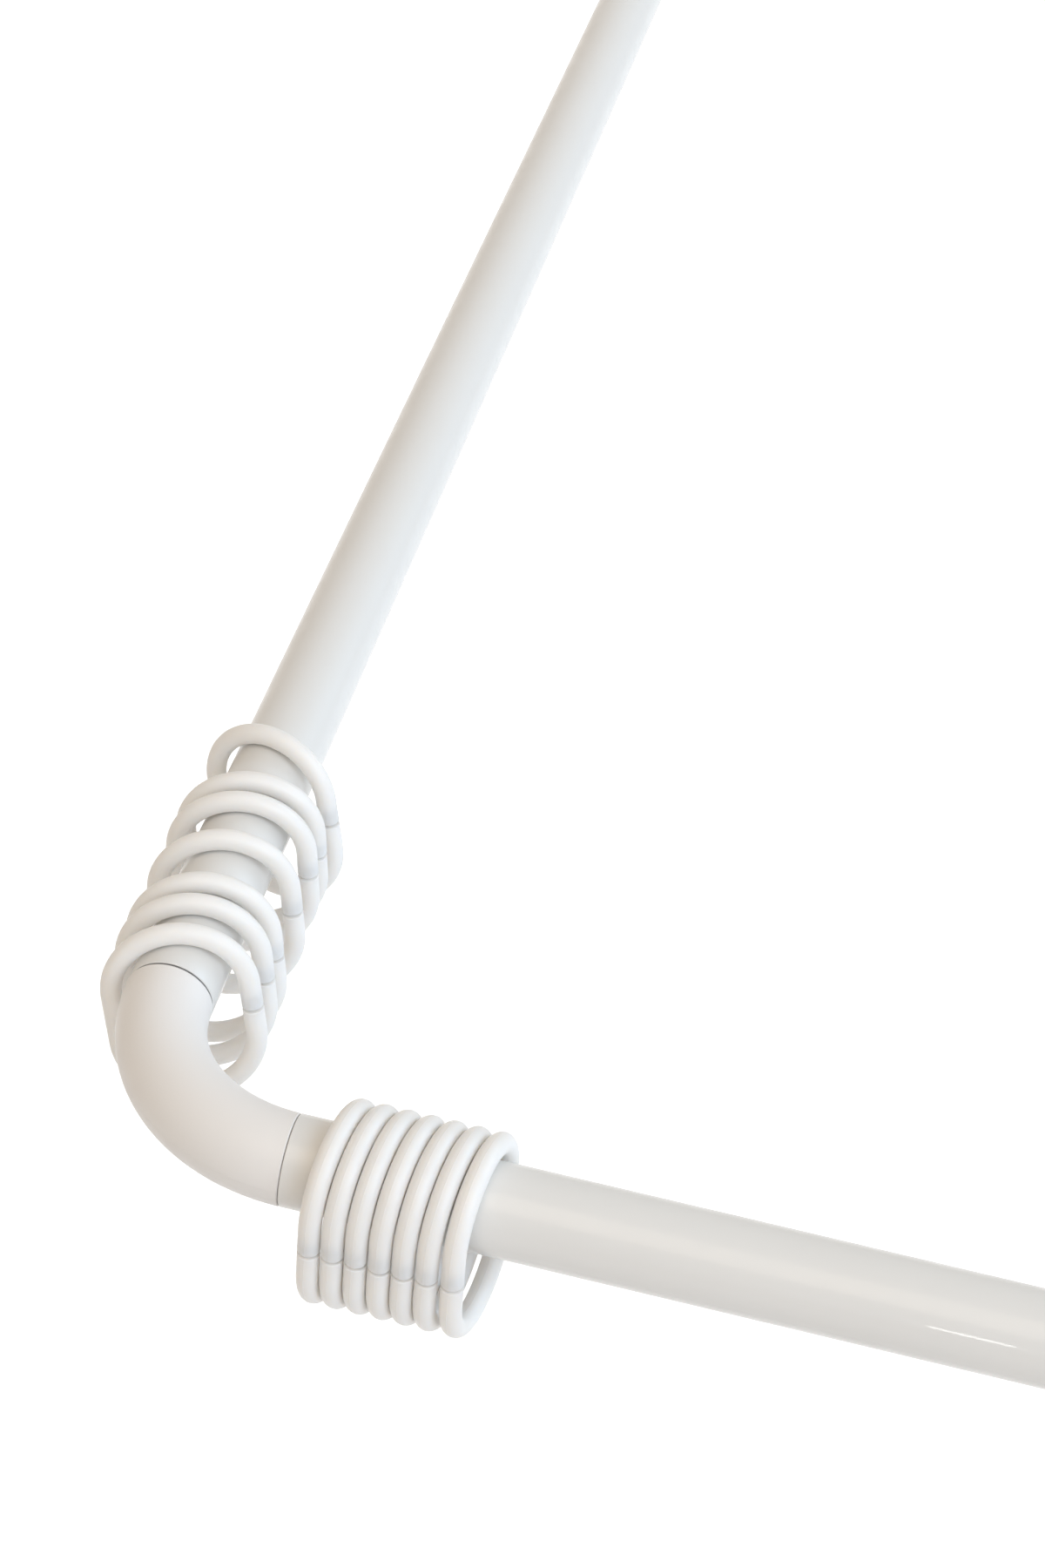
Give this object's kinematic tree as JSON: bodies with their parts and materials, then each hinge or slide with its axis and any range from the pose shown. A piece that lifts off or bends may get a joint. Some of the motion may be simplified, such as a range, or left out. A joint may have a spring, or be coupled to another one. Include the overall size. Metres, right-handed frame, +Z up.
{
  "type": "u-shaped shower curtain rail",
  "caption": "Level U-shaped shower curtain rail of white coated tube, with flush corner elbows, wall flanges and oval snap rings that slide along it.",
  "frame": {"origin": "centre of the left flange's back face, on the axis of the left side tube", "axes": "+X along the front tube to the right flange, +Y into the wall, +Z up"},
  "size_m": [0.964, 0.9222, 0.0735],
  "materials": {
    "tube_coat": "glossy white powder coat on aluminium tube",
    "elbow_plastic": "satin white moulded plastic",
    "ring_plastic": "satin white moulded plastic",
    "flange_plastic": "satin white moulded plastic",
    "screw_steel": "bright zinc-plated steel"
  },
  "bodies": {
    "rail": {"left_side_tube": "tube_coat", "front_tube": "tube_coat", "right_side_tube": "tube_coat", "left_elbow": "elbow_plastic", "right_elbow": "elbow_plastic", "left_flange": "flange_plastic", "right_flange": "flange_plastic", "left_grub_screw": "screw_steel", "right_grub_screw": "screw_steel"},
    "front_ring_1": {"front_ring_1": "ring_plastic"},
    "front_ring_2": {"front_ring_2": "ring_plastic"},
    "front_ring_3": {"front_ring_3": "ring_plastic"},
    "front_ring_4": {"front_ring_4": "ring_plastic"},
    "front_ring_5": {"front_ring_5": "ring_plastic"},
    "front_ring_6": {"front_ring_6": "ring_plastic"},
    "front_ring_7": {"front_ring_7": "ring_plastic"},
    "side_ring_1": {"side_ring_1": "ring_plastic"},
    "side_ring_2": {"side_ring_2": "ring_plastic"},
    "side_ring_3": {"side_ring_3": "ring_plastic"},
    "side_ring_4": {"side_ring_4": "ring_plastic"},
    "side_ring_5": {"side_ring_5": "ring_plastic"},
    "side_ring_6": {"side_ring_6": "ring_plastic"},
    "side_ring_7": {"side_ring_7": "ring_plastic"}
  },
  "joints": [
    {"name": "front_ring_1_slide", "type": "slide", "parent": "rail", "child": "front_ring_1", "axis": [1, 0, 0], "range_m": [0, 0.1]},
    {"name": "front_ring_2_slide", "type": "slide", "parent": "front_ring_1", "child": "front_ring_2", "axis": [1, 0, 0], "range_m": [0, 0.1]},
    {"name": "front_ring_3_slide", "type": "slide", "parent": "front_ring_2", "child": "front_ring_3", "axis": [1, 0, 0], "range_m": [0, 0.1]},
    {"name": "front_ring_4_slide", "type": "slide", "parent": "front_ring_3", "child": "front_ring_4", "axis": [1, 0, 0], "range_m": [0, 0.1]},
    {"name": "front_ring_5_slide", "type": "slide", "parent": "front_ring_4", "child": "front_ring_5", "axis": [1, 0, 0], "range_m": [0, 0.1]},
    {"name": "front_ring_6_slide", "type": "slide", "parent": "front_ring_5", "child": "front_ring_6", "axis": [1, 0, 0], "range_m": [0, 0.1]},
    {"name": "front_ring_7_slide", "type": "slide", "parent": "front_ring_6", "child": "front_ring_7", "axis": [1, 0, 0], "range_m": [0, 0.1]},
    {"name": "side_ring_1_slide", "type": "slide", "parent": "rail", "child": "side_ring_1", "axis": [0, 1, 0], "range_m": [0, 0.1]},
    {"name": "side_ring_2_slide", "type": "slide", "parent": "side_ring_1", "child": "side_ring_2", "axis": [0, 1, 0], "range_m": [-0.0055, 0.1]},
    {"name": "side_ring_3_slide", "type": "slide", "parent": "side_ring_2", "child": "side_ring_3", "axis": [0, 1, 0], "range_m": [-0.0025, 0.1]},
    {"name": "side_ring_4_slide", "type": "slide", "parent": "side_ring_3", "child": "side_ring_4", "axis": [0, 1, 0], "range_m": [-0.012, 0.1]},
    {"name": "side_ring_5_slide", "type": "slide", "parent": "side_ring_4", "child": "side_ring_5", "axis": [0, 1, 0], "range_m": [-0.01, 0.1]},
    {"name": "side_ring_6_slide", "type": "slide", "parent": "side_ring_5", "child": "side_ring_6", "axis": [0, 1, 0], "range_m": [-0.0025, 0.1]},
    {"name": "side_ring_7_slide", "type": "slide", "parent": "side_ring_6", "child": "side_ring_7", "axis": [0, 1, 0], "range_m": [-0.004, 0.1]}
  ]
}
